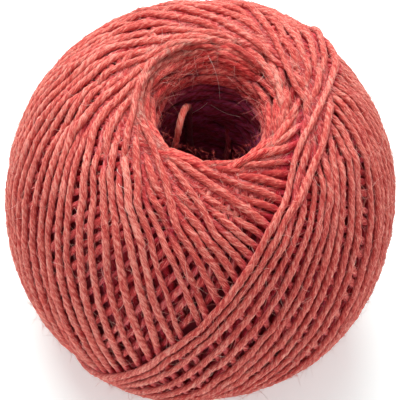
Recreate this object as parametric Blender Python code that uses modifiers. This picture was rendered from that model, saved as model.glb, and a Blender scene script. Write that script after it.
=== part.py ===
"""A ball of jute twine that stands on its end.

The twine is wound round a spindle, a turn beside a turn, and the spindle is drawn out.
That leaves a round hole through the ball, with a raised crest at each end, and the inner
end of the twine stands loose in the hole. Sizes are in metres, and +Z is up.
"""

import math

import bmesh
import bpy
from mathutils import Vector
from mathutils.geometry import normal

# Driving dimensions of the wound ball
BALL_RADIUS = 0.042
CREST_HEIGHT = 0.036
CREST_RADIUS = 0.0153
FLAT_DEPTH = 0.001
HOLE_RADIUS = 0.011
HOLE_WAIST_RADIUS = 0.0104
FUNNEL_DEPTH = 0.0096
FULLNESS = 2.2

# Driving dimensions of the winding
TWINE_DIAMETER = 0.0016
TURN_TILT = math.radians(30)
BUNDLES = 22
BUNDLE_RELIEF = 0.0006
LAYER_STEP = 0.0012
LAST_TURN_FLANK = math.radians(7)
RELIEF_STARTS = math.radians(29)
RELIEF_IS_FULL = math.radians(50)

# How finely the shapes are divided
BALL_STEPS = 96
SIDE_STEPS = 30
LIP_STEPS = 5
WALL_STEPS = 6
MERGE_DISTANCE = 0.00001

WAIST_HEIGHT = CREST_HEIGHT - FLAT_DEPTH
FULL_ROUND = 2 * math.pi
QUARTER_ROUND = math.pi / 2

# The loose inner end of the twine: right, back and up from the middle of the ball
PULL_END_ROUTE = [
    Vector((-0.0015, 0.0092, 0.0030)),
    Vector((-0.0029, 0.0088, 0.0056)),
    Vector((-0.0039, 0.0084, 0.0095)),
    Vector((-0.0044, 0.0083, 0.0145)),
    Vector((-0.0047, 0.0083, 0.0204)),
    Vector((-0.0053, 0.0073, 0.0230)),
    Vector((-0.0060, 0.0046, 0.0242)),
    Vector((-0.0064, 0.0018, 0.0230)),
    Vector((-0.0066, 0.0007, 0.0204)),
    Vector((-0.0070, 0.0006, 0.0145)),
    Vector((-0.0074, 0.0012, 0.0070)),
    Vector((-0.0075, 0.0021, -0.0020)),
    Vector((-0.0071, 0.0023, -0.0090)),
]
PULL_END_SPACING = 2 * TWINE_DIAMETER
PULL_END_SIDES = 2


def clear_scene():
    for thing in list(bpy.data.objects):
        bpy.data.objects.remove(thing)


def make_collection(name):
    collection = bpy.data.collections.new(name)
    bpy.context.scene.collection.children.link(collection)
    return collection


def jute(name, colour):
    """Dyed jute: rough and matt."""
    material = bpy.data.materials.new(name)
    material.use_nodes = True
    shader = material.node_tree.nodes["Principled BSDF"]
    shader.inputs["Base Color"].default_value = (*colour, 1)
    shader.inputs["Roughness"].default_value = 0.92
    shader.inputs["Metallic"].default_value = 0
    return material


def side_of_ball():
    """Down the outer side, from the upper crest to the lower one."""
    points = []
    for step in range(SIDE_STEPS + 1):
        turn = QUARTER_ROUND - math.pi * step / SIDE_STEPS
        across = abs(math.cos(turn)) ** (2 / FULLNESS)
        along = math.copysign(abs(math.sin(turn)) ** (2 / FULLNESS), turn)
        radius = CREST_RADIUS + (BALL_RADIUS - CREST_RADIUS) * across
        points.append((radius, CREST_HEIGHT * along))
    return points


def lip_of_hole():
    """From the crest of one end in and down to the hole's wall, a quarter of an ellipse."""
    points = []
    for step in range(1, LIP_STEPS + 1):
        turn = QUARTER_ROUND * step / LIP_STEPS
        radius = CREST_RADIUS - (CREST_RADIUS - HOLE_RADIUS) * math.sin(turn)
        height = CREST_HEIGHT - FUNNEL_DEPTH * (1 - math.cos(turn))
        points.append((radius, height))
    return points


def wall_of_hole():
    """Up the hole between the two lips, a little narrower at its waist."""
    points = []
    half_length = CREST_HEIGHT - FUNNEL_DEPTH
    for step in range(1, WALL_STEPS):
        share = 2 * step / WALL_STEPS - 1
        narrowing = (HOLE_RADIUS - HOLE_WAIST_RADIUS) * math.cos(QUARTER_ROUND * share)
        points.append((HOLE_RADIUS - narrowing, half_length * share))
    return points


def ball_profile():
    """The closed section of the ball at one side of its hole."""
    upper_lip = lip_of_hole()
    lower_lip = [(radius, -height) for radius, height in upper_lip]
    return side_of_ball() + lower_lip + wall_of_hole() + upper_lip[::-1]


def ages_of_turns(direction):
    """How far the winding went round after it laid the two turns that pass over a spot.

    Each turn is a great loop that leans TURN_TILT from the axis, and each next one leans
    towards a slightly earlier azimuth. The newer turn comes first, because it is on top.
    An age is an angle, 0 under the last turn of all.
    """
    azimuth = math.atan2(direction.y, direction.x)
    colatitude = math.acos(direction.z)
    swing = math.acos(max(-1, min(1, math.tan(TURN_TILT) / math.tan(colatitude))))
    return sorted([(azimuth - swing) % FULL_ROUND, (azimuth + swing) % FULL_ROUND])


def eased(share):
    """From 0 to 1 with a soft start and a soft end."""
    share = max(0, min(1, share))
    return share * share * (3 - 2 * share)


def height_of_turn(age):
    """Newer turns lie higher, and turns lie in bundles with a furrow between them."""
    return BUNDLE_RELIEF * math.cos(BUNDLES * age) + LAYER_STEP * (0.5 - age / math.pi)


def relief(point):
    """How far the winding stands out from the smooth ball at a point of its outer side."""
    direction = point.normalized()
    from_pole = math.acos(abs(direction.z))
    if math.hypot(point.x, point.y) < CREST_RADIUS or from_pole < RELIEF_STARTS:
        return 0
    fade = eased((from_pole - RELIEF_STARTS) / (RELIEF_IS_FULL - RELIEF_STARTS))
    newer, older = ages_of_turns(direction)
    flank = eased(1 - (FULL_ROUND - older) / LAST_TURN_FLANK)
    height = height_of_turn(newer)
    return fade * (height + flank * (height_of_turn(0) - height))


def turned_ball():
    """The smooth ball, turned from its profile round the hole."""
    profile = ball_profile()
    mesh = bpy.data.meshes.new("ball_profile")
    points = [(radius, 0, height) for radius, height in profile]
    edges = [(i, (i + 1) % len(profile)) for i in range(len(profile))]
    mesh.from_pydata(points, edges, [])
    turned = bpy.data.objects.new("ball_profile", mesh)
    bpy.context.scene.collection.objects.link(turned)
    screw = turned.modifiers.new("turning", "SCREW")
    screw.axis = "Z"
    screw.angle = FULL_ROUND
    screw.steps = BALL_STEPS
    screw.render_steps = BALL_STEPS
    screw.use_merge_vertices = True
    screw.merge_threshold = MERGE_DISTANCE
    screw.use_smooth_shade = True
    return turned


def fold_along_relief(mesh):
    """Splits each four-sided face along the diagonal that folds it least."""
    shape = bmesh.new()
    shape.from_mesh(mesh)
    for face in list(shape.faces):
        if len(face.verts) != 4:
            continue
        a, b, c, d = face.verts
        fold_at_ac = normal([a.co, b.co, c.co]).dot(normal([a.co, c.co, d.co]))
        fold_at_bd = normal([a.co, b.co, d.co]).dot(normal([b.co, c.co, d.co]))
        if fold_at_ac > fold_at_bd:
            bmesh.utils.face_split(face, a, c)
        else:
            bmesh.utils.face_split(face, b, d)
    shape.to_mesh(mesh)
    shape.free()


def twine_ball(collection):
    """The wound ball, with the relief of its last layers, and flattened where it stands."""
    turned = turned_ball()
    graph = bpy.context.evaluated_depsgraph_get()
    mesh = bpy.data.meshes.new_from_object(turned.evaluated_get(graph))
    bpy.data.objects.remove(turned)
    for vertex in mesh.vertices:
        vertex.co += vertex.co.normalized() * relief(vertex.co)
        vertex.co.z = max(vertex.co.z, -WAIST_HEIGHT)
    fold_along_relief(mesh)
    mesh.materials.append(jute("jute_winding", (0.52, 0.095, 0.075)))
    ball = bpy.data.objects.new("twine_ball", mesh)
    ball.location.z = WAIST_HEIGHT
    collection.objects.link(ball)


def smooth_route(route, spacing):
    """Evenly spaced points of one smooth curve through the points of a route."""
    fine_steps = 24
    padded = [2 * route[0] - route[1], *route, 2 * route[-1] - route[-2]]
    fine = []
    for before, start, end, after in zip(padded, padded[1:], padded[2:], padded[3:]):
        for step in range(fine_steps):
            t = step / fine_steps
            bend = 2 * before - 5 * start + 4 * end - after
            twist = 3 * (start - end) + after - before
            fine.append(start + (t * (end - before) + t**2 * bend + t**3 * twist) / 2)
    fine.append(route[-1])
    lengths = [0]
    for start, end in zip(fine, fine[1:]):
        lengths.append(lengths[-1] + (end - start).length)
    count = round(lengths[-1] / spacing)
    points = []
    piece = 0
    for step in range(count + 1):
        wanted = lengths[-1] * step / count
        while piece < len(fine) - 2 and lengths[piece + 1] < wanted:
            piece += 1
        share = (wanted - lengths[piece]) / (lengths[piece + 1] - lengths[piece])
        points.append(fine[piece].lerp(fine[piece + 1], share))
    return points


def pull_end(collection):
    """The loose inner end: up beside the hole's wall, over in a bend, and down again."""
    points = smooth_route(PULL_END_ROUTE, PULL_END_SPACING)
    curve = bpy.data.curves.new("pull_end", "CURVE")
    curve.dimensions = "3D"
    curve.bevel_depth = TWINE_DIAMETER / 2
    curve.bevel_resolution = PULL_END_SIDES
    curve.use_fill_caps = True
    spline = curve.splines.new("POLY")
    spline.points.add(len(points) - 1)
    for spot, point in zip(spline.points, points):
        spot.co = (*point, 1)
    curve.materials.append(jute("jute_pull_end", (0.58, 0.12, 0.09)))
    end = bpy.data.objects.new("pull_end", curve)
    end.location.z = WAIST_HEIGHT
    collection.objects.link(end)


clear_scene()
ball_of_twine = make_collection("ball_of_twine")
twine_ball(ball_of_twine)
pull_end(ball_of_twine)
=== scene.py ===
import math

import bpy
import numpy as np
from mathutils import Matrix, Vector


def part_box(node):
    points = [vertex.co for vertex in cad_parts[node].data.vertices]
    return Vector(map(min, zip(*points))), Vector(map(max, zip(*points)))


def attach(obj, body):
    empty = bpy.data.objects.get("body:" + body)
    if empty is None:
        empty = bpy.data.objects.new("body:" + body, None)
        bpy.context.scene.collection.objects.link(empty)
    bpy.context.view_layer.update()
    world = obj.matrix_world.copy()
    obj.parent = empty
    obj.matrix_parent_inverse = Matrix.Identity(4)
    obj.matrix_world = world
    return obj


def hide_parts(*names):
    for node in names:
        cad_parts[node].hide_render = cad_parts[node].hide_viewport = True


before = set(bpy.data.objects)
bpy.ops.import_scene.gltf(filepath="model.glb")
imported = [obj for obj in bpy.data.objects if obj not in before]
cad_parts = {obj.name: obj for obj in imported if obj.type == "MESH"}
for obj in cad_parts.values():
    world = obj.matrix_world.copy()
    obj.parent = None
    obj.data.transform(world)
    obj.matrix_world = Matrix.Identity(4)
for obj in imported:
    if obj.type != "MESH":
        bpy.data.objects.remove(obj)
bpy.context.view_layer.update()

# The twine: three plies of jute, laid left-handed into a limp string about 1.6 mm thick and dyed.
# It is spun unevenly, so its plies swell and thin, and fibres of many shades run along it.
MM = 0.001
FULL_ROUND = 2 * math.pi
TWINE_HALF_WIDTH = 0.77 * MM
TWINE_HALF_HEIGHT = 0.72 * MM
PLIES = 3
LAY = 5.8 * MM
FIBRE_LAY = 15 * MM
FIBRE_STRETCH = 5
GROOVE = 0.13
chance = np.random.default_rng(11)

# How much the twine swells and thins, and over what length; then the same for a single ply
SLUBS = ((0.12, 22 * MM), (0.12, 8 * MM), (0.08, 2.5 * MM))
PLY_SLUB = 0.1
PLY_SLUB_LENGTH = 5 * MM
SURFACE_UNEVENNESS = 0.04

# How much the dye's tone drifts along the twine, and how much it differs between plies
TONE_DRIFT = 0.5
TONE_DRIFT_LENGTH = 25 * MM
TONE_OF_SLUB = 0.3
TONE_OF_PLY = 0.25
FIBRES_START_WITHIN = 50
FEWEST_RINGS = 4


def unit(vectors):
    """Vectors with the same directions and a length of 1."""
    return vectors / np.linalg.norm(vectors, axis=-1, keepdims=True)


def read_along(places, known_places, known_points):
    """Points at some places along a line, between the points that are known."""
    columns = [np.interp(places, known_places, column) for column in known_points.T]
    return np.column_stack(columns)


def unevenness(along, spacing):
    """A random value between -1 and 1 that changes about once a spacing."""
    knots = np.arange(along[0] - spacing, along[-1] + 2 * spacing, spacing)
    return np.interp(along, knots, chance.uniform(-1, 1, len(knots)))


def spin_twine(line, outward, ring_step, corners, thickness=1.0, tone=0.0):
    """One length of twine along a line: its rings of points, fibres, grooves and tones."""
    gaps = np.linalg.norm(np.diff(line, axis=0), axis=1)
    lengths = np.concatenate([[0], np.cumsum(gaps)])
    rings = max(FEWEST_RINGS, round(lengths[-1] / ring_step) + 1)
    along = np.linspace(0, lengths[-1], rings)
    centre = read_along(along, lengths, line)
    ahead = unit(np.gradient(centre, axis=0))
    side = unit(np.cross(read_along(along, lengths, outward), ahead))
    up = np.cross(ahead, side)
    corner = np.arange(corners) * FULL_ROUND / corners
    groove = np.clip(np.cos(PLIES * corner), 0, 1)
    angle = chance.uniform(0, FULL_ROUND) - FULL_ROUND * along[:, None] / LAY + corner
    swell = thickness
    for share, spacing in SLUBS:
        swell = swell + share * unevenness(along, spacing)
    plies = np.column_stack([unevenness(along, PLY_SLUB_LENGTH) for _ in range(PLIES)])
    ply_of_corner = np.arange(corners) * PLIES // corners
    reach = swell[:, None] * (1 - GROOVE * groove) * (1 + PLY_SLUB * plies[:, ply_of_corner])
    reach = reach * chance.normal(1, SURFACE_UNEVENNESS, reach.shape)
    sideways = (reach * np.cos(angle) * TWINE_HALF_WIDTH)[..., None] * side[:, None]
    upwards = (reach * np.sin(angle) * TWINE_HALF_HEIGHT)[..., None] * up[:, None]
    points = centre[:, None] + sideways + upwards
    fibre_angle = angle + FULL_ROUND * along[:, None] / FIBRE_LAY
    place = chance.uniform(-FIBRES_START_WITHIN, FIBRES_START_WITHIN, 3)
    fibres = np.empty_like(points)
    fibres[..., 0] = np.cos(fibre_angle) * TWINE_HALF_WIDTH / MM + place[0]
    fibres[..., 1] = np.sin(fibre_angle) * TWINE_HALF_WIDTH / MM + place[1]
    fibres[..., 2] = along[:, None] / MM / FIBRE_STRETCH + place[2]
    tones = tone + TONE_DRIFT * unevenness(along, TONE_DRIFT_LENGTH)[:, None]
    tones = tones + TONE_OF_SLUB * plies[:, ply_of_corner]
    tones = tones + chance.normal(0, TONE_OF_PLY, PLIES)[ply_of_corner]
    return points, fibres, np.broadcast_to(groove, reach.shape), tones


def piece_of_twine(name, lengths, material, stands_for=None, shade_at=None):
    """Joins lengths of twine, or of single fibres, into one piece of the ball."""
    faces, sizes, first = [], [], 0
    for points, *_ in lengths:
        rings, corners = points.shape[:2]
        grid = first + np.arange(rings * corners).reshape(rings, corners)
        here, ahead = grid[:-1], grid[1:]
        quads = np.stack([here, np.roll(here, -1, 1), np.roll(ahead, -1, 1), ahead], -1)
        faces += [quads.ravel(), grid[0, ::-1], grid[-1]]
        sizes += [np.full(here.size, 4), [corners, corners]]
        first += rings * corners
    points, fibres = (
        np.concatenate([length[k].reshape(-1, 3) for length in lengths]) for k in (0, 1)
    )
    grooves, tones = (np.concatenate([length[k].ravel() for length in lengths]) for k in (2, 3))
    shades = shade_at(points) if shade_at else np.zeros(len(points))
    faces, sizes = np.concatenate(faces), np.concatenate(sizes)
    mesh = bpy.data.meshes.new(name)
    mesh.vertices.add(len(points))
    mesh.vertices.foreach_set("co", points.astype(np.float32).ravel())
    mesh.loops.add(len(faces))
    mesh.loops.foreach_set("vertex_index", faces.astype(np.int32))
    mesh.polygons.add(len(sizes))
    starts = np.concatenate([[0], np.cumsum(sizes)[:-1]])
    mesh.polygons.foreach_set("loop_start", starts.astype(np.int32))
    mesh.update(calc_edges=True)
    mesh.shade_smooth()
    mesh.attributes.new("fibres", "FLOAT_VECTOR", "POINT").data.foreach_set(
        "vector", fibres.astype(np.float32).ravel()
    )
    for label, values in (("groove", grooves), ("tone", tones), ("shade", shades)):
        mesh.attributes.new(label, "FLOAT", "POINT").data.foreach_set(
            "value", values.astype(np.float32).ravel()
        )
    mesh.materials.append(material)
    piece = bpy.data.objects.new(name, mesh)
    bpy.context.scene.collection.objects.link(piece)
    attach(piece, "root")
    if stands_for:
        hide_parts(stands_for)
    return piece


# The streaks and bumps of the fibres, each as its scale and detail, what lightens a fibre, and
# the painted shade that darkens it in the grooves between plies
COARSE_STREAKS = (1.1, 2)
FINE_STREAKS = (5, 5)
FIBRE_BUMPS = (5, 3)
SHARE_OF_COARSE = 0.4
SHARE_OF_TONE = 0.035
PAINTED_SHADE_IN_GROOVES = -0.07

# How light a streak has to be for the dark, the middle and the light shade of the dye
DARK_BELOW = 0.57
MIDDLE_AT = 0.69
LIGHT_ABOVE = 0.83
# The tint that the painted shade between the turns multiplies the dye by
SHADE_BETWEEN_TURNS = (0.8, 0.18, 0.43)


def jute_dye_with_painted_shade(name, dark, middle, light, deep=SHADE_BETWEEN_TURNS):
    """Dyed jute in streaks along its fibres, with painted shade that darkens it between plies and
    deep between turns.
    """
    material = bpy.data.materials.new(name)
    material.use_nodes = True
    nodes, links = material.node_tree.nodes, material.node_tree.links
    shader = nodes["Principled BSDF"]
    shader.inputs["Roughness"].default_value = 0.85
    shader.inputs["Specular IOR Level"].default_value = 0.25
    shader.inputs["Subsurface Weight"].default_value = 0.5
    shader.inputs["Subsurface Radius"].default_value = (1, 0.12, 0.1)
    shader.inputs["Subsurface Scale"].default_value = 0.8 * MM
    shader.inputs["Sheen Weight"].default_value = 0.15
    shader.inputs["Sheen Roughness"].default_value = 0.45
    shader.inputs["Sheen Tint"].default_value = (1, 0.66, 0.55, 1)

    def read(attribute):
        """One of the values that the mesh carries at each of its points."""
        node = nodes.new("ShaderNodeAttribute")
        node.attribute_name = attribute
        return node

    def speckle(scale, detail):
        """Noise that is drawn out along the fibres."""
        node = nodes.new("ShaderNodeTexNoise")
        node.inputs["Scale"].default_value = scale
        node.inputs["Detail"].default_value = detail
        node.inputs["Roughness"].default_value = 0.65
        links.new(read("fibres").outputs["Vector"], node.inputs["Vector"])
        return node.outputs["Fac"]

    def sum_of(value, factor, other):
        """A value times a factor, with another value added."""
        node = nodes.new("ShaderNodeMath")
        node.operation = "MULTIPLY_ADD"
        links.new(value, node.inputs[0])
        node.inputs[1].default_value = factor
        links.new(other, node.inputs[2])
        return node.outputs["Value"]

    light_share = sum_of(speckle(*COARSE_STREAKS), SHARE_OF_COARSE, speckle(*FINE_STREAKS))
    light_share = sum_of(read("tone").outputs["Fac"], SHARE_OF_TONE, light_share)
    # Painted shade: the grooves between the plies are drawn darker
    light_share = sum_of(read("groove").outputs["Fac"], PAINTED_SHADE_IN_GROOVES, light_share)
    ramp = nodes.new("ShaderNodeValToRGB")
    links.new(light_share, ramp.inputs["Fac"])
    ramp.color_ramp.elements[0].position = DARK_BELOW
    ramp.color_ramp.elements[0].color = (*dark, 1)
    ramp.color_ramp.elements[1].position = LIGHT_ABOVE
    ramp.color_ramp.elements[1].color = (*light, 1)
    ramp.color_ramp.elements.new(MIDDLE_AT).color = (*middle, 1)
    # Painted shade: the shade attribute multiplies the dye by the deep tint, darkest deep between
    # turns and in the hole
    shaded = nodes.new("ShaderNodeMix")
    shaded.data_type = "RGBA"
    shaded.blend_type = "MULTIPLY"
    links.new(read("shade").outputs["Fac"], shaded.inputs["Factor"])
    links.new(ramp.outputs["Color"], shaded.inputs["A"])
    shaded.inputs["B"].default_value = (*deep, 1)
    links.new(shaded.outputs["Result"], shader.inputs["Base Color"])
    bump = nodes.new("ShaderNodeBump")
    bump.inputs["Strength"].default_value = 1
    bump.inputs["Distance"].default_value = 0.2 * MM
    links.new(speckle(*FIBRE_BUMPS), bump.inputs["Height"])
    links.new(bump.outputs["Normal"], shader.inputs["Normal"])
    return material


# The ball: the twine is wound on a spindle, turn after turn over both ends, by a winder that
# goes slowly round. Every turn leans from the axis and lies on whatever the older ones left.
_, ball_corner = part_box("twine_ball")
FLAT_DEPTH = 1 * MM
WAIST_HEIGHT = (ball_corner.z - FLAT_DEPTH) / 2
CREST_HEIGHT = ball_corner.z - WAIST_HEIGHT
BALL_RADIUS = ball_corner.x
CREST_RADIUS = 15.3 * MM
HOLE_RADIUS = 11 * MM
FUNNEL_DEPTH = 9.6 * MM
FULLNESS = 2.2

# The turns: how many there are, how many go once round the ball, and where the last one leans to
TURNS = 144
TURNS_IN_A_ROUND = 70
LAST_TURN_AZIMUTH = math.radians(-6)
SAMPLES_IN_A_TURN = 272
PRESSED_HALF_HEIGHT = 0.6 * MM

# How near the axis a turn may pass, and how much further off in front, where the lip is set back
NEAREST_TO_POLE = math.radians(22)
LIP_SET_BACK = math.radians(3)
FRONT_STARTS = 0.2

# A turn slides sideways by steps of a lattice, and covers some steps to each side of its middle
LATTICE = 0.2 * MM
MOST_SLIDE = 18
FOOTPRINT = 4

# How gently a taut turn bends, over how many samples, and how high the turns may pile up
STIFF_RADIUS = 8 * MM
STIFF_OVER = 8
HIGHEST_AT_FIRST = 2.4 * MM
GROWTH_IN_A_ROUND = 2.2 * MM

# Turns nearer to each other than this crowd, and the older one sinks below the newer one
CROWDED = 1.3 * MM
SINKS_BY = 1.15 * MM
STILL_ON_TOP = 0.35 * MM

# The cells of the height maps, and the depth from which a turn doesn't show and is left out
CELL = 0.35 * MM / BALL_RADIUS
FINER = 3
BURIED = 2.5 * MM
LOOK_ASIDE = 1.2 * MM

# How far a turn strays from its place in the winding, in degrees: its lean and its way round
LEAN_ERROR = 0.5
ROUND_ERROR = 1

# What keeps a turn from sliding: a cost for each bend, and a pull towards its own path that is
# weak at the mouth of the hole and strong on the ball's side
BEND_COST = 0.16
PULL_AT_MOUTH = 0.02
PULL_ON_SIDE = 0.35
PULL_STARTS = 0.5
PULL_FADE = 0.4
NO_WAY_HERE = 1e6
PAST_THE_EDGE = 1e9
BARRED_HEIGHT = 20 * MM

# How far the winder has gone round since, in degrees, and how far its turns leant, in degrees
LEAN_OF_TURNS = (
    (0, 33),
    (90, 30),
    (180, 22.5),
    (270, 27.5),
    (360, 27),
    (450, 25),
    (540, 22.5),
    (720, 25),
)

# The last turns lie in a tight band and then in pairs: how far back each one is, in degrees
LAST_TURNS = (0, 2.5, 5, 7.6, 14.2, 19.4, 25.4, 30, 36, 40.4, 46.6, 51.4)


def lip_of_hole(turn):
    """Radius and height of the funnel, from its crest at 0 down to the hole at a quarter turn."""
    radius = CREST_RADIUS - (CREST_RADIUS - HOLE_RADIUS) * np.sin(turn)
    return radius, CREST_HEIGHT - FUNNEL_DEPTH * (1 - np.cos(turn))


def ball_outline():
    """Colatitudes and reaches of the ball's outer side, from one funnel to the other."""
    across, height = (list(part) for part in lip_of_hole(np.radians(np.arange(45, 0, -5))))
    for turn in np.radians(np.arange(90, -1, -2)):
        fullness = math.cos(turn) ** (2 / FULLNESS)
        across.append(CREST_RADIUS + (BALL_RADIUS - CREST_RADIUS) * fullness)
        height.append(CREST_HEIGHT * math.sin(turn) ** (2 / FULLNESS))
    colatitudes = np.arctan2(across, height)
    reaches = np.hypot(across, height)
    below = slice(-2, None, -1)
    return (
        np.concatenate([colatitudes, math.pi - colatitudes[below]]),
        np.concatenate([reaches, reaches[below]]),
    )


OUTLINE = ball_outline()
cell_rows = np.arange(int(math.pi / CELL) + 1)
cells_in_row = np.round(FULL_ROUND * np.sin((cell_rows + 0.5) * CELL) / CELL).astype(int)
cells_in_row = np.maximum(1, cells_in_row)
first_in_row = np.concatenate([[0], np.cumsum(cells_in_row)])


def cell_at(directions):
    """The cell of the ball's height map that each direction points to."""
    rows = (np.arccos(np.clip(directions[..., 2], -1, 1)) / CELL).astype(int)
    rounds = np.arctan2(directions[..., 1], directions[..., 0]) / FULL_ROUND % 1
    return first_in_row[rows] + (rounds * cells_in_row[rows]).astype(int) % cells_in_row[rows]


OFFSETS = np.arange(-FOOTPRINT, FOOTPRINT + 1) * LATTICE
SECTION = PRESSED_HALF_HEIGHT * np.sqrt(np.clip(1 - (OFFSETS / TWINE_HALF_WIDTH) ** 2, 0, 1))


def eased(share):
    """From 0 to 1 with a soft start and a soft end."""
    share = np.clip(share, 0, 1)
    return share * share * (3 - 2 * share)


def path_of_turn(turn, lean_errors, round_errors):
    """Directions along one turn, and the sideways directions there."""
    share = np.arange(SAMPLES_IN_A_TURN) / SAMPLES_IN_A_TURN
    age = TURNS - turn - share
    back = FULL_ROUND * age / TURNS_IN_A_ROUND
    table = np.array(LEAN_OF_TURNS)
    lean = np.interp(np.degrees(back), table[:, 0], table[:, 1])
    lean = np.radians(lean + np.interp(age, np.arange(TURNS + 1), lean_errors))
    azimuth = LAST_TURN_AZIMUTH + back + np.interp(age, np.arange(TURNS + 1), round_errors)
    along = math.pi + FULL_ROUND * share
    top = np.column_stack(
        [np.sin(lean) * np.cos(azimuth), np.sin(lean) * np.sin(azimuth), np.cos(lean)]
    )
    across = np.column_stack([-np.sin(azimuth), np.cos(azimuth), np.zeros_like(azimuth)])
    directions = np.cos(along)[:, None] * top + np.sin(along)[:, None] * across
    sideways = unit(np.cross(directions, np.gradient(directions, axis=0)))
    return directions, sideways


def slide_into_place(heights, pull, start):
    """How far each point of a turn slides sideways, in lattice steps, to lie low and smooth."""
    steps = np.arange(-MOST_SLIDE, MOST_SLIDE + 1)
    cost = np.where(steps == start, 0.0, NO_WAY_HERE)
    came_from = []
    own = heights / MM + pull[:, None] * (steps * LATTICE / MM) ** 2
    for row in own:
        from_left = np.concatenate([[PAST_THE_EDGE], cost[:-1] + BEND_COST])
        from_right = np.concatenate([cost[1:] + BEND_COST, [PAST_THE_EDGE]])
        options = np.stack([cost, from_left, from_right])
        choice = options.argmin(axis=0)
        came_from.append(choice)
        cost = options[choice, np.arange(len(steps))] + row
    place = int(cost.argmin())
    places = np.empty(len(own))
    for i in range(len(own) - 1, -1, -1):
        places[i] = place
        place += (0, -1, 1)[came_from[i][place]]
    return places - MOST_SLIDE


def smoothed(values, reach):
    """A running mean with soft ends."""
    weights = np.concatenate([np.arange(1, reach + 1), np.arange(reach - 1, 0, -1)])
    padded = np.pad(values, reach - 1, mode="edge")
    return np.convolve(padded, weights / weights.sum(), mode="valid")


def spread_sideways(directions, sideways, offsets):
    """The directions beside each direction of a line, at some distances from it."""
    shifts = (offsets / BALL_RADIUS)[:, None] * sideways[:, None]
    return unit(directions[:, None] + shifts)


def finely(directions, sideways, heights):
    """The same stretch of twine with more points."""
    known = np.arange(len(directions))
    places = np.arange(0, len(directions) - 0.99, 1 / FINER)
    return (
        read_along(places, known, directions),
        read_along(places, known, sideways),
        np.interp(places, known, heights),
    )


def in_front(directions):
    """From 0 to 1, how much a spot of the upper end lies in front of the hole."""
    never_zero = 0.001
    across = np.hypot(directions[..., 0], directions[..., 1]) + never_zero
    return eased(FRONT_STARTS - directions[..., 1] / across) * (directions[..., 2] > 0)


def stretched_over(heights, sign):
    """A taut line over the heights, or for sign -1 under them, that bends only gently."""
    spacing = FULL_ROUND * BALL_RADIUS / SAMPLES_IN_A_TURN
    taut = sign * heights
    for step in range(1, STIFF_OVER + 1):
        sag = (step * spacing) ** 2 / (2 * STIFF_RADIUS)
        taut[step:] = np.maximum(taut[step:], sign * heights[:-step] - sag)
        taut[:-step] = np.maximum(taut[:-step], sign * heights[step:] - sag)
    return smoothed(sign * taut, 2)


def lay_on(height_map, line, sideways, height):
    """Raises a height map to the top of a turn that is laid on it."""
    fine_line, fine_sideways, fine_height = finely(line, sideways, height)
    cells = cell_at(spread_sideways(fine_line, fine_sideways, OFFSETS))
    np.maximum.at(height_map, cells, fine_height[:, None] + SECTION)


def wind_ball():
    """Lays each turn on the older ones, the first turn first. A turn slides sideways to where
    it lies low, and where turns crowd they are pressed together and don't pile up further."""
    height_map = np.zeros(first_in_row[-1])
    lean_errors = chance.normal(0, LEAN_ERROR, TURNS + 1)
    round_errors = np.radians(chance.normal(0, ROUND_ERROR, TURNS + 1))
    regular = np.arange(len(LAST_TURNS)) * 360 / TURNS_IN_A_ROUND
    round_errors[: len(LAST_TURNS)] = np.radians(np.array(LAST_TURNS) - regular)
    row = np.arange(SAMPLES_IN_A_TURN)
    reach = MOST_SLIDE + FOOTPRINT
    lattice = np.arange(-reach, reach + 1) * LATTICE
    start, turns = 0, []
    for turn in range(TURNS):
        directions, sideways = path_of_turn(turn, lean_errors, round_errors)
        spread = spread_sideways(directions, sideways, lattice)
        under = height_map[cell_at(spread)]
        contact = np.max(
            [under[:, k : k + 2 * MOST_SLIDE + 1] + SECTION[k] for k in range(len(SECTION))],
            axis=0,
        )
        from_pole = np.arccos(np.abs(spread[:, FOOTPRINT:-FOOTPRINT, 2]))
        on_side = eased((from_pole[:, MOST_SLIDE] - PULL_STARTS) / PULL_FADE)
        pull = PULL_AT_MOUTH + PULL_ON_SIDE * on_side
        nearest = NEAREST_TO_POLE + LIP_SET_BACK * in_front(spread[:, FOOTPRINT:-FOOTPRINT])
        blocked = contact + (from_pole < nearest) * BARRED_HEIGHT
        slide = slide_into_place(blocked, pull, start)
        start = slide[-1]
        slide = smoothed(slide, 3) + MOST_SLIDE
        whole = np.clip(slide.astype(int), 0, 2 * MOST_SLIDE - 1)
        rest = slide - whole
        height = (1 - rest) * contact[row, whole] + rest * contact[row, whole + 1]
        highest = HIGHEST_AT_FIRST + GROWTH_IN_A_ROUND * turn / TURNS_IN_A_ROUND
        height = stretched_over(np.minimum(height, highest), 1)
        shift = (slide - MOST_SLIDE) * LATTICE / BALL_RADIUS
        line = unit(directions + shift[:, None] * sideways)
        turns.append((line, sideways, height))
        lay_on(height_map, line, sideways, height)
    return turns


def press_down_older(turns):
    """Where turns crowd, the newer ones show side by side and the older ones sink below."""
    ceiling = np.full(first_in_row[-1], 1.0)
    offsets = np.arange(-CROWDED, CROWDED + LATTICE, LATTICE)
    pressed = []
    for line, sideways, height in reversed(turns):
        allowed = np.minimum(height, ceiling[cell_at(line)])
        lower = np.minimum(stretched_over(allowed, -1), height)
        pressed.append((line, sideways, lower))
        fine_line, fine_sideways, fine_height = finely(line, sideways, lower)
        *_, fine_sunk = finely(line, sideways, height - lower)
        top = fine_sunk < STILL_ON_TOP
        cells = cell_at(spread_sideways(fine_line[top], fine_sideways[top], offsets))
        under = np.broadcast_to(fine_height[top, None] - SINKS_BY, cells.shape)
        np.minimum.at(ceiling, cells, under)
    return pressed[::-1]


def top_of_ball(turns):
    """The height map of the finished ball."""
    height_map = np.zeros(first_in_row[-1])
    for line, sideways, height in turns:
        lay_on(height_map, line, sideways, height)
    return height_map


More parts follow.
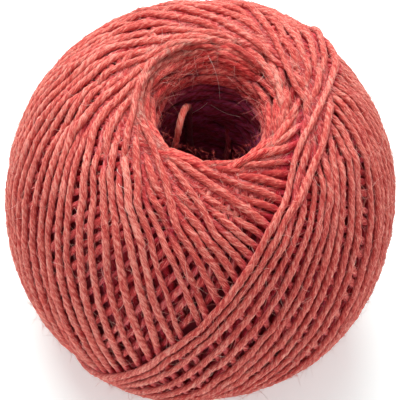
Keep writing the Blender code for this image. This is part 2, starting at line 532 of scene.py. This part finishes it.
def thickness_by_colatitude(map_of_heights):
    """How thick the winding is at each colatitude, the same for both ends of the ball."""
    usual_share, rows_smoothed = 70, 12
    middles = (cell_rows + 0.5) * CELL
    usual = np.array(
        [
            np.percentile(map_of_heights[start:end], usual_share)
            for start, end in zip(first_in_row, first_in_row[1:])
        ]
    )
    usual = (usual + usual[::-1]) / 2
    return middles, smoothed(usual, rows_smoothed)


turns = press_down_older(wind_ball())
map_of_heights = top_of_ball(turns)
directions, sideways_all, heights = (np.concatenate(part) for part in zip(*turns))
colatitudes = np.arccos(np.clip(directions[:, 2], -1, 1))
usual_thickness = thickness_by_colatitude(map_of_heights)
thickness = np.interp(colatitudes, *usual_thickness)
reaches = np.interp(colatitudes, *OUTLINE) - thickness + heights
middle_of_ball = np.array([0, 0, WAIST_HEIGHT])
centre_line = directions * reaches[:, None] + middle_of_ball

jute_winding = jute_dye_with_painted_shade(
    "jute_winding",
    dark=(0.46, 0.04, 0.038),
    middle=(0.66, 0.12, 0.096),
    light=(0.86, 0.35, 0.285),
)


def depth_under(directions, heights, sideways):
    """How deep a point of the twine lies below the top of the ball around it."""
    depths = [
        map_of_heights[cell_at(unit(directions + shift * sideways))]
        for shift in np.array([-LOOK_ASIDE, 0, LOOK_ASIDE]) / BALL_RADIUS
    ]
    return np.min(depths, axis=0) - heights - PRESSED_HALF_HEIGHT


depths = depth_under(directions, heights, sideways_all)

# The turns are joined into pieces from the newest on. Each piece has a step between the rings of
# its twine and a number of corners to a ring, finer where the turns show
TURNS_IN_A_PIECE = 18
FINENESS_OF_PIECES = (
    (0.6 * MM, 9),
    (0.6 * MM, 9),
    (0.8 * MM, 9),
    (0.8 * MM, 9),
    (1.2 * MM, 6),
    (1.2 * MM, 6),
    (1.6 * MM, 6),
    (1.6 * MM, 6),
)
SHORTEST_SHOWN = 8
WINDING_THICKNESS = 1.06
THICKNESS_ERROR = 0.06

# How far a strand reaches over the gaps beside it, how deep in them it looks dark, and how far
# from the mouth of the hole that starts
ROOF_REACH = 1.7 * MM
DEEP = 2 * MM
MOUTH_FADE = math.radians(9)


def roof_of_ball():
    """A height map of the strands as if each reached as far as the gaps beside it."""
    roof = np.zeros(first_in_row[-1])
    offsets = np.arange(-ROOF_REACH, ROOF_REACH + LATTICE, LATTICE)
    for line, sideways, height in turns:
        fine_line, fine_sideways, fine_height = finely(line, sideways, height)
        cells = cell_at(spread_sideways(fine_line, fine_sideways, offsets))
        np.maximum.at(roof, cells, np.broadcast_to(fine_height[:, None], cells.shape))
    return roof + PRESSED_HALF_HEIGHT


roof = roof_of_ball()


def shade_between_turns(points):
    """How dark a point looks for lying deep between the turns around it, from 0 to 1."""
    from_middle = points - middle_of_ball
    reach = np.linalg.norm(from_middle, axis=1)
    direction = from_middle / reach[:, None]
    colatitude = np.arccos(np.clip(direction[:, 2], -1, 1))
    base = np.interp(colatitude, *OUTLINE) - np.interp(colatitude, *usual_thickness)
    from_pole = np.minimum(colatitude, math.pi - colatitude)
    out_of_mouth = eased((from_pole - NEAREST_TO_POLE) / MOUTH_FADE)
    return eased((roof[cell_at(direction)] + base - reach) / DEEP) * out_of_mouth


def pressed_flat(points):
    """The twine that the ball stands on is pressed flat against the floor."""
    softness = 0.25 * MM
    points = points.copy()
    height = points[..., 2]
    points[..., 2] = (height + np.sqrt(height**2 + softness**2)) / 2
    return points


for number, (ring_step, corners) in enumerate(FINENESS_OF_PIECES):
    last = len(directions) - number * TURNS_IN_A_PIECE * SAMPLES_IN_A_TURN
    first = last - TURNS_IN_A_PIECE * SAMPLES_IN_A_TURN
    samples = np.arange(max(first - 1, 0), last)
    shown = depths[samples] < BURIED
    starts = np.flatnonzero(np.diff(np.concatenate([[0], shown, [0]])))
    lengths = []
    for start, end in starts.reshape(-1, 2):
        if end - start < SHORTEST_SHOWN:
            continue
        run = samples[start:end]
        points, *others = spin_twine(
            centre_line[run],
            directions[run],
            ring_step,
            corners,
            thickness=WINDING_THICKNESS + THICKNESS_ERROR * chance.normal(),
            tone=chance.normal(),
        )
        lengths.append((pressed_flat(points), *others))
    piece_of_twine(
        f"winding_{number + 1}",
        lengths,
        jute_winding,
        "twine_ball",
        shade_between_turns,
    )

# The heart of the ball: older turns, packed tight, that only darken the gaps between newer ones
# with a colour of painted shade.
# It is one closed body round the hole, as deep under the ball's outside as two turns of twine.
HEART_DEPTH = 3.6 * MM
HEART_WALL = 2.5 * MM
HEART_SUNK = 1.5 * MM
HEART_STEPS = 96
HEART_GRAIN = 900


def heart_profile():
    """The heart's section at one side of the hole, from its top outside round to its wall."""
    colatitude = np.radians(np.arange(33, 148, 3))  # clear of the crests
    reach = np.interp(colatitude, *OUTLINE) - HEART_DEPTH
    outside = np.column_stack([np.sin(colatitude), np.cos(colatitude)]) * reach[:, None]
    radius, height = lip_of_hole(np.radians([35, 55, 75, 90]))
    upper = np.column_stack([radius + HEART_WALL, height - HEART_SUNK])
    lower = upper * [1, -1]
    return np.concatenate([outside, lower, upper[::-1]])


def heart_material():
    """Jute coloured as if no light reached it: a dark maroon of painted shade with a faint coarse
    grain.
    """
    material = bpy.data.materials.new("jute_of_painted_shade")
    material.use_nodes = True
    nodes, links = material.node_tree.nodes, material.node_tree.links
    shader = nodes["Principled BSDF"]
    shader.inputs["Roughness"].default_value = 0.95
    grain = nodes.new("ShaderNodeTexNoise")
    grain.inputs["Scale"].default_value = HEART_GRAIN
    ramp = nodes.new("ShaderNodeValToRGB")
    # Painted shade: the heart's dark maroon stands for jute that no light reaches
    ramp.color_ramp.elements[0].color = (0.18, 0.008, 0.02, 1)
    ramp.color_ramp.elements[1].color = (0.45, 0.026, 0.05, 1)
    place = nodes.new("ShaderNodeTexCoord")
    links.new(place.outputs["Object"], grain.inputs["Vector"])
    links.new(grain.outputs["Fac"], ramp.inputs["Fac"])
    links.new(ramp.outputs["Color"], shader.inputs["Base Color"])
    return material


def make_heart():
    """The heart's section turned round the hole, cut off flat above the floor."""
    profile = heart_profile()
    azimuths = np.arange(HEART_STEPS) * FULL_ROUND / HEART_STEPS
    points = np.empty((len(profile), HEART_STEPS, 3))
    points[..., 0] = profile[:, :1] * np.cos(azimuths)
    points[..., 1] = profile[:, :1] * np.sin(azimuths)
    points[..., 2] = np.maximum(profile[:, 1:] + WAIST_HEIGHT, HEART_DEPTH)
    grid = np.arange(points.size // 3).reshape(points.shape[:2])
    below = np.roll(grid, -1, 0)
    quads = np.stack([grid, below, np.roll(below, -1, 1), np.roll(grid, -1, 1)], -1)
    mesh = bpy.data.meshes.new("heart")
    mesh.from_pydata(points.reshape(-1, 3).tolist(), [], quads.reshape(-1, 4).tolist())
    mesh.shade_smooth()
    mesh.materials.append(heart_material())
    heart = bpy.data.objects.new("heart", mesh)
    bpy.context.scene.collection.objects.link(heart)
    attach(heart, "root")
    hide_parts("twine_ball")


make_heart()

# The hole's lining: where each turn passed close by the spindle it still lies along the wall,
# nearly level, and its two ends run out and down under its neighbours.
LINING_STEP = 1.7 * MM
LINING_IN_A_LEVEL = 10
LINING_START = 0.5 * MM
LINING_REACH = 8 * MM
LINING_POINTS = 17
LINING_BEND_RADIUS = 14 * MM
LINING_DROP = 1 / (2 * LINING_BEND_RADIUS)
LINING_FINENESS = (0.8 * MM, 9)
LINING_THICKNESS = 1.14
# The lining's strands are drawn lighter on the whole: painted light on the shaded wall of the
# hole
LINING_PAINTED_LIGHT_TONE = 0.8

# How unevenly the strands lie: along the wall and down it, as shares of their spacing; then in
# millimetres into the wall; then how much their lengths and their slopes differ
SHIFT_ALONG = 0.2
SHIFT_DOWN = 0.3
SHIFT_INTO_WALL = (-0.45, 0.4)
LENGTH_SHARES = (0.85, 1.15)
SLOPE_ERROR = 0.16

# The front of the upper lip lies further out than the rest, from a height up
LIP_MOVED = 1.7 * MM
LIP_MOVED_FROM = 22 * MM
LIP_MOVED_FADE = 8 * MM

# How dark it is in the hole, at some depths in millimetres, and how dark between its strands
SHADE_BY_DEPTH = ((0, 0), (3, 0), (6, 0.05), (9, 0.3), (10.8, 0.92), (24, 1))
CREVICE_SHADE = 0.78
CREVICE_FROM = 0.35 * MM
CREVICE_DEPTH = 1 * MM
CREVICES_START = 2 * MM
CREVICES_ARE_FULL = 6.5 * MM


def wall_of_hole():
    """Down the hole's wall, from one crest to the other: radii and heights in even steps."""
    lip_points, a_little_on = 40, 0.1 * MM
    profile = np.column_stack(lip_of_hole(np.linspace(0, math.pi / 2, lip_points)))
    profile = np.concatenate([profile, profile[::-1] * [1, -1]])
    gaps = np.linalg.norm(np.diff(profile, axis=0), axis=1)
    lengths = np.concatenate([[0], np.cumsum(gaps)])
    places = np.arange(LINING_START, lengths[-1], LINING_STEP)
    spots = read_along(places, lengths, profile)
    next_spots = read_along(places + a_little_on, lengths, profile)
    return spots, unit(next_spots - spots)


def lip_moved(height, directions):
    """How much further out the front of the upper lip lies than the rest of it."""
    return LIP_MOVED * eased((height - LIP_MOVED_FROM) / LIP_MOVED_FADE) * in_front(directions)


def lining_lengths():
    """Level by level down the hole, the strands that lie along its wall."""
    lengths = []
    for (wall_radius, wall_height), (slope_out, slope_up) in zip(*wall_of_hole()):
        turned = chance.uniform(0, FULL_ROUND)
        for number in range(LINING_IN_A_LEVEL):
            place = number + chance.uniform(-SHIFT_ALONG, SHIFT_ALONG)
            azimuth = turned + FULL_ROUND * place / LINING_IN_A_LEVEL
            down = chance.uniform(-SHIFT_DOWN, SHIFT_DOWN) * LINING_STEP
            deep = TWINE_HALF_HEIGHT + chance.uniform(*SHIFT_INTO_WALL) * MM
            radius = wall_radius + slope_out * down - slope_up * deep
            height = wall_height + slope_up * down + slope_out * deep
            along = np.linspace(-1, 1, LINING_POINTS) * LINING_REACH
            along = along * chance.uniform(*LENGTH_SHARES)
            out = np.array([math.cos(azimuth), math.sin(azimuth), 0])
            radius += lip_moved(height, np.array([out[0], out[1], 1]))
            forward = np.array([-math.sin(azimuth), math.cos(azimuth), 0])
            side = 1 if height > 0 else -1
            slope = chance.normal(0, SLOPE_ERROR)
            rise = height - side * LINING_DROP * along**2 + slope * along
            line = out * radius + forward * along[:, None] + middle_of_ball
            line[:, 2] = np.maximum(line[:, 2] + rise, TWINE_HALF_HEIGHT)
            inward = np.broadcast_to(-out, line.shape)
            # Painted light: each strand's tone is raised by the lining's lighter tone
            tone = chance.normal(LINING_PAINTED_LIGHT_TONE, 1)
            points, *others = spin_twine(line, inward, *LINING_FINENESS, LINING_THICKNESS, tone)
            lengths.append((pressed_flat(points), *others))
    return lengths


def shade_in_hole(points):
    """How dark a point looks for lying deep in the hole or between the turns, from 0 to 1."""
    height = points[:, 2] - WAIST_HEIGHT
    depth = CREST_HEIGHT - np.abs(height)
    in_hole = np.interp(depth / MM, *zip(*SHADE_BY_DEPTH))
    across = 1 - np.clip(depth / FUNNEL_DEPTH, 0, 1)
    wall = CREST_RADIUS - (CREST_RADIUS - HOLE_RADIUS) * np.sqrt(1 - across**2)
    wall += lip_moved(height, points)
    behind = np.hypot(points[:, 0], points[:, 1]) - wall
    in_funnel = eased((depth - CREVICES_START) / (CREVICES_ARE_FULL - CREVICES_START))
    crevice = eased((behind - CREVICE_FROM) / CREVICE_DEPTH) * in_funnel
    return 1 - (1 - in_hole) * (1 - CREVICE_SHADE * crevice)


# A shaded copy of the twine's colours for the strands in the hole, more saturated red, with a
# purple tint for the painted shade deep in the hole and between its strands
jute_in_hole = jute_dye_with_painted_shade(
    "jute_in_hole",
    dark=(0.4, 0.018, 0.02),
    middle=(0.7, 0.07, 0.068),
    light=(0.92, 0.27, 0.21),
    deep=(0.33, 0.12, 0.6),
)
piece_of_twine(
    "lining",
    lining_lengths(),
    jute_in_hole,
    "twine_ball",
    shade_in_hole,
)

# The pull end: the loose inner end of the twine. It stands up beside the wall of the hole, bends
# over, and hangs down again, so that it can be taken hold of and drawn out.
PULL_END_ROUTE = [
    Vector((-0.0015, 0.0092, 0.0030)),
    Vector((-0.0029, 0.0088, 0.0056)),
    Vector((-0.0039, 0.0084, 0.0095)),
    Vector((-0.0044, 0.0083, 0.0145)),
    Vector((-0.0047, 0.0083, 0.0204)),
    Vector((-0.0053, 0.0073, 0.0230)),
    Vector((-0.0060, 0.0046, 0.0242)),
    Vector((-0.0064, 0.0018, 0.0230)),
    Vector((-0.0066, 0.0007, 0.0204)),
    Vector((-0.0070, 0.0006, 0.0145)),
    Vector((-0.0074, 0.0012, 0.0070)),
    Vector((-0.0075, 0.0021, -0.0020)),
    Vector((-0.0071, 0.0023, -0.0090)),
]
PULL_END_THICKNESS = 1.12
PULL_END_FINENESS = (0.4 * MM, 12)

# The limb behind the bend is in the shade, from some way back and below the bend
SHADED_BEHIND = 4 * MM
SHADED_BELOW = WAIST_HEIGHT + 25 * MM
SHADE_FADE = 3 * MM


def smooth_route(route):
    """Points close together on one smooth curve through the points of a route."""
    steps_in_a_piece = 12
    padded = [2 * route[0] - route[1], *route, 2 * route[-1] - route[-2]]
    points = []
    for before, start, end, after in zip(padded, padded[1:], padded[2:], padded[3:]):
        for step in range(steps_in_a_piece):
            t = step / steps_in_a_piece
            bend = 2 * before - 5 * start + 4 * end - after
            twist = 3 * (start - end) + after - before
            points.append(start + (t * (end - before) + t**2 * bend + t**3 * twist) / 2)
    points.append(route[-1])
    return np.array(points) + middle_of_ball


# The pull end's colours are lighter than the winding's: painted light, so that it looks lit in
# the shade of the hole; its deep tint is the painted shade of its back limb
jute_pull_end = jute_dye_with_painted_shade(
    "jute_pull_end",
    dark=(0.7, 0.065, 0.05),
    middle=(0.92, 0.18, 0.135),
    light=(0.98, 0.42, 0.34),
    deep=(0.12, 0.02, 0.12),
)
pull_line = smooth_route(PULL_END_ROUTE)
pull_outward = np.broadcast_to([-0.6, -0.8, 0.02], pull_line.shape)


def shade_behind_bend(points):
    """How dark the back limb looks, which stands close to the wall, from 0 to 1."""
    back = eased((points[:, 1] - SHADED_BEHIND) / SHADE_FADE)
    return back * eased((SHADED_BELOW - points[:, 2]) / SHADE_FADE)


pull_end = piece_of_twine(
    "pull_end_twine",
    [spin_twine(pull_line, pull_outward, *PULL_END_FINENESS, PULL_END_THICKNESS)],
    jute_pull_end,
    "pull_end",
    shade_behind_bend,
)

# The slack turn: one turn of the same twine that has come loose from the hole's wall. It hangs
# in the shade at the back, and both its ends run into the winding.
SLACK_TURN_ROUTE = [
    Vector((0.0036, 0.0130, 0.0120)),
    Vector((0.0043, 0.0103, 0.0110)),
    Vector((0.0047, 0.0092, 0.0070)),
    Vector((0.0046, 0.0090, -0.0030)),
    Vector((0.0041, 0.0122, -0.0110)),
]
# Painted shade: how dark the slack turn is drawn
SLACK_TURN_SHADE = 0.72
SLACK_TURN_FINENESS = (0.6 * MM, 9)
slack_line = smooth_route(SLACK_TURN_ROUTE)
slack_outward = np.broadcast_to([0, -1, 0.02], slack_line.shape)


def shade_of_slack_turn(points):
    """The slack turn gets the same painted shade all along."""
    return np.full(len(points), SLACK_TURN_SHADE)


piece_of_twine(
    "slack_turn",
    [spin_twine(slack_line, slack_outward, *SLACK_TURN_FINENESS)],
    jute_in_hole,
    "twine_ball",
    shade_of_slack_turn,
)

# The stray hairs: jute is a coarse, stiff fibre, and short ends of it stand off the twine all
# over. Finer ones curl round the rim and the wall of the hole, where the winder's spindle has
# rubbed, and a few long pale ones hang in it or lie beside it.
FUZZ = 8000
RIM_HAIRS = 320
WALL_HAIRS = 300
RIM = math.cos(math.radians(29))
ROOTS_ABOVE = 5 * MM
ROOTS_WITHIN = 0.1 * MM
ROOT_UP = 0.9
ROOT_ASIDE = 0.5
LOWEST = 0.3 * MM
TIP = 0.4

# Each kind of hair: its length and radius in millimetres, how much it curls, its tone and rings
FUZZ_LIKE = ((1, 3.6), (0.03, 0.06), (0.1, 0.8), (0.1, 0.85), 3)
RIM_LIKE = ((1.5, 5), (0.026, 0.042), (0.2, 1.1), (0, 0.9), 8)
WALL_LIKE = ((1.2, 3.4), (0.024, 0.036), (0.4, 1.6), (0.1, 0.95), 8)
LONG_HAIR_RADIUS = 0.055 * MM
LONG_HAIR_SIDE = (0.4, 0.3, 0.86)
SWAY = 0.5
WAVE_HEIGHT = 0.3
WAVES = 1.5

# Where a hair points: along its twine, off it, and at the rim towards the middle of the hole
ALONG_TWINE = (0.4, 1.2)
OFF_TWINE = (0, 0.35)
TOWARDS_HOLE = (0, 1.4)

# The same for the funnel's wall, and how far down its quarter turn hairs grow, in radians
DOWN_THE_LIP = (0.4, 1.4)
UPWARDS = (-0.3, 0.9)
INWARDS = (0.2, 1)
ROUND_THE_WALL = (-1.2, 1.2)

# In front, where hairs stand against the dark of the hole, they are shorter, and drawn darker as
# painted shade
FRONT_HAIRS_PAINTED_SHADE = 0.7
FRONT_IS_SHORTER = 0.55
WALL_FRONT_IS_SHORTER = 0.7
WALL_BACK_IS_THICKER = 1.3
WALL_FRONT_IS_THINNER = 0.35

# Each hair's route from its root on, from the middle of the ball, in millimetres
LONG_HAIRS = (
    ((6.4, 9.2, 19.4), (3.6, 9.6, 19.4), (1.5, 8.9, 21.4), (-0.3, 8.4, 23.4)),
    ((-2.7, 13.4, 34.8), (-0.6, 11.1, 32.6), (0.8, 9.3, 29.5), (1.5, 8.1, 26)),
    ((-4.9, 9.9, 16.8), (-3.9, 9.1, 18.9), (-2.3, 9, 21), (-1.1, 8.7, 23.5)),
    ((-11.7, 10.1, 35.6), (-10.4, 10.6, 37.2), (-9.3, 13.6, 37)),
    ((-17.9, -19.8, 33.8), (-17.6, -20.9, 34.3), (-16.9, -21.5, 34)),
    ((-17.2, -22.8, 32.8), (-16.9, -23.6, 33.3), (-16, -24.1, 33.4), (-15.2, -24.2, 32.9)),
)


def thin_tube(line, across, thickness, tone):
    """A fibre along a line, three-sided, that thins out towards its tip."""
    forward = unit(np.gradient(line, axis=0))
    side = unit(np.cross(forward, across))
    up = np.cross(forward, side)
    corner = np.arange(3) * FULL_ROUND / 3
    radius = thickness * np.linspace(1, TIP, len(line))[:, None, None]
    around = np.cos(corner)[:, None] * side[:, None] + np.sin(corner)[:, None] * up[:, None]
    points = line[:, None] + radius * around
    flat = np.zeros(points.shape[:2])
    return points, points * 0, flat, flat + tone


def hair(root, ahead, length, thickness, curl, tone, rings):
    """One short curved fibre that stands off the twine."""
    along = np.linspace(0, 1, rings)
    bend = unit(np.cross(ahead, chance.normal(size=3))) * curl
    sway = unit(np.cross(ahead, chance.normal(size=3))) * curl * SWAY
    line = root + length * (
        along[:, None] * ahead
        + (along**2)[:, None] * bend
        + np.sin(along * math.pi * WAVES)[:, None] * sway * WAVE_HEIGHT
    )
    line[:, 2] = np.maximum(line[:, 2], LOWEST)
    return thin_tube(line, bend, thickness, tone)


def hair_material():
    """Single fibres of jute, from the dye's dark red to almost undyed."""
    material = bpy.data.materials.new("jute_hair")
    material.use_nodes = True
    nodes, links = material.node_tree.nodes, material.node_tree.links
    shader = nodes["Principled BSDF"]
    shader.inputs["Roughness"].default_value = 0.7
    tone = nodes.new("ShaderNodeAttribute")
    tone.attribute_name = "tone"
    ramp = nodes.new("ShaderNodeValToRGB")
    ramp.color_ramp.elements[0].color = (0.6, 0.065, 0.055, 1)
    ramp.color_ramp.elements[1].color = (0.96, 0.8, 0.74, 1)
    ramp.color_ramp.elements.new(0.75).color = (0.88, 0.4, 0.33, 1)
    links.new(tone.outputs["Fac"], ramp.inputs["Fac"])
    links.new(ramp.outputs["Color"], shader.inputs["Base Color"])
    return material


def drawn_hair(lengths, radii, curls, tones, rings):
    """One hair's length, radius, curl and tone, drawn from the ranges of its kind."""
    return (
        chance.uniform(*lengths) * MM,
        chance.uniform(*radii) * MM,
        chance.uniform(*curls),
        chance.uniform(*tones),
        rings,
    )


def hairs_on_turns():
    """Short fuzz all over the turns that show, and curly fibres round the rim of the hole."""
    on_top = np.flatnonzero((depths < ROOTS_WITHIN) & (centre_line[:, 2] > ROOTS_ABOVE))
    at_rim = on_top[directions[on_top, 2] > RIM]
    chosen = np.concatenate([chance.choice(on_top, FUZZ), chance.choice(at_rim, RIM_HAIRS)])
    ahead = unit(np.gradient(centre_line, axis=0))
    lengths = []
    for number, sample in enumerate(chosen):
        up, side = directions[sample], sideways_all[sample]
        lean = chance.uniform(-1, 1)
        on_twine = up * ROOT_UP + side * lean * ROOT_ASIDE
        root = centre_line[sample] + on_twine * TWINE_HALF_HEIGHT
        aim = unit(
            ahead[sample] * chance.choice([-1, 1]) * chance.uniform(*ALONG_TWINE)
            + up * chance.uniform(*OFF_TWINE)
            + side * lean
        )
        if number < FUZZ:
            length, thickness, curl, tone, rings = drawn_hair(*FUZZ_LIKE)
        else:
            to_axis = -unit(np.array([up[0], up[1], 0]))
            aim = unit(aim + to_axis * chance.uniform(*TOWARDS_HOLE))
            length, thickness, curl, tone, rings = drawn_hair(*RIM_LIKE)
            tone = tone**2
        at_front_lip = in_front(up) * (up[2] > RIM)
        # Painted shade: hairs at the front lip are drawn darker
        tone *= 1 - FRONT_HAIRS_PAINTED_SHADE * at_front_lip
        length *= 1 - FRONT_IS_SHORTER * at_front_lip
        lengths.append(hair(root, aim, length, thickness, curl, tone, rings))
    return lengths


def hairs_in_hole():
    """Curly fibres that stand off the funnel's wall, towards the middle of the hole."""
    lengths = []
    for _ in range(WALL_HAIRS):
        radius, height = lip_of_hole(chance.uniform(*DOWN_THE_LIP))
        azimuth = chance.uniform(0, FULL_ROUND)
        out = np.array([math.cos(azimuth), math.sin(azimuth), 0])
        forward = np.array([-math.sin(azimuth), math.cos(azimuth), 0])
        root = out * radius + middle_of_ball
        root[2] += height
        rise = np.array([0, 0, chance.uniform(*UPWARDS)])
        inward = -out * chance.uniform(*INWARDS)
        aim = unit(rise + inward + forward * chance.uniform(*ROUND_THE_WALL))
        length, thickness, curl, tone, rings = drawn_hair(*WALL_LIKE)
        at_front = in_front(np.array([out[0], out[1], 1]))
        thickness *= WALL_BACK_IS_THICKER - WALL_FRONT_IS_THINNER * at_front
        # Painted shade: wall hairs at the front are drawn darker
        tone *= 1 - at_front
        length *= 1 - WALL_FRONT_IS_SHORTER * at_front
        lengths.append(hair(root, aim, length, thickness, curl, tone, rings))
    return lengths


def long_hairs():
    """The longest fibres, which hang in the hole, or lie at its rim or on the turns beside it."""
    lengths = []
    for route in LONG_HAIRS:
        line = smooth_route([Vector(point) * MM for point in route])
        lengths.append(thin_tube(line, LONG_HAIR_SIDE, LONG_HAIR_RADIUS, tone=1))
    return lengths


hairs = hairs_on_turns() + hairs_in_hole() + long_hairs()
piece_of_twine("hairs", hairs, hair_material())

# The floor, the light and the camera: a pale sheet under the ball, a broad soft light from behind
# and from the left, and a camera that looks down at the ball and leans a little to one side.
bpy.ops.mesh.primitive_plane_add(size=6)
floor = bpy.context.object
floor.name = "floor"
paper = bpy.data.materials.new("pale_paper")
paper.use_nodes = True
paper_shader = paper.node_tree.nodes["Principled BSDF"]
paper_shader.inputs["Base Color"].default_value = (0.83, 0.94, 0.94, 1)
paper_shader.inputs["Roughness"].default_value = 0.9
paper_shader.inputs["Emission Color"].default_value = (0.94, 1, 1, 1)
paper_shader.inputs["Emission Strength"].default_value = 0.38
floor.data.materials.append(paper)

aim = Vector((0, 0, WAIST_HEIGHT))


def soft_light(name, azimuth, elevation, distance, size, power, colour):
    """A square lamp that faces the ball, from an azimuth that is 0 in front and 90 at right."""
    lamp = bpy.data.lights.new(name, "AREA")
    lamp.size = size
    lamp.energy = power
    lamp.color = colour
    light = bpy.data.objects.new(name, lamp)
    bpy.context.scene.collection.objects.link(light)
    turn, lift = math.radians(azimuth), math.radians(elevation)
    away = Vector(
        (math.sin(turn) * math.cos(lift), -math.cos(turn) * math.cos(lift), math.sin(lift))
    )
    light.location = aim + distance * away
    light.rotation_euler = away.to_track_quat("Z", "Y").to_euler()


soft_light(
    "key",
    azimuth=-156,
    elevation=58,
    distance=0.8,
    size=0.7,
    power=8.9,
    colour=(1, 1.08, 1.05),
)
sky = bpy.data.worlds.new("studio")
sky.use_nodes = True
sky.node_tree.nodes["Background"].inputs["Color"].default_value = (1, 0.88, 0.88, 1)
sky.node_tree.nodes["Background"].inputs["Strength"].default_value = 0.6
bpy.context.scene.world = sky

CAMERA_ELEVATION = math.radians(53.5)
CAMERA_ROLL = math.radians(7.3)
CAMERA_DISTANCE = 0.7
FRAME_WIDTH = 87.84 * MM
camera_data = bpy.data.cameras.new("camera")
camera_data.lens = camera_data.sensor_width * CAMERA_DISTANCE / FRAME_WIDTH
camera_data.clip_start = 0.05
camera = bpy.data.objects.new("camera", camera_data)
bpy.context.scene.collection.objects.link(camera)
back = Vector((0, -math.cos(CAMERA_ELEVATION), math.sin(CAMERA_ELEVATION)))
camera.matrix_world = (
    Matrix.Translation(aim + CAMERA_DISTANCE * back)
    @ Matrix.Rotation(math.pi / 2 - CAMERA_ELEVATION, 4, "X")
    @ Matrix.Rotation(CAMERA_ROLL, 4, "Z")
)
bpy.context.scene.camera = camera
bpy.context.scene.view_settings.view_transform = "Standard"
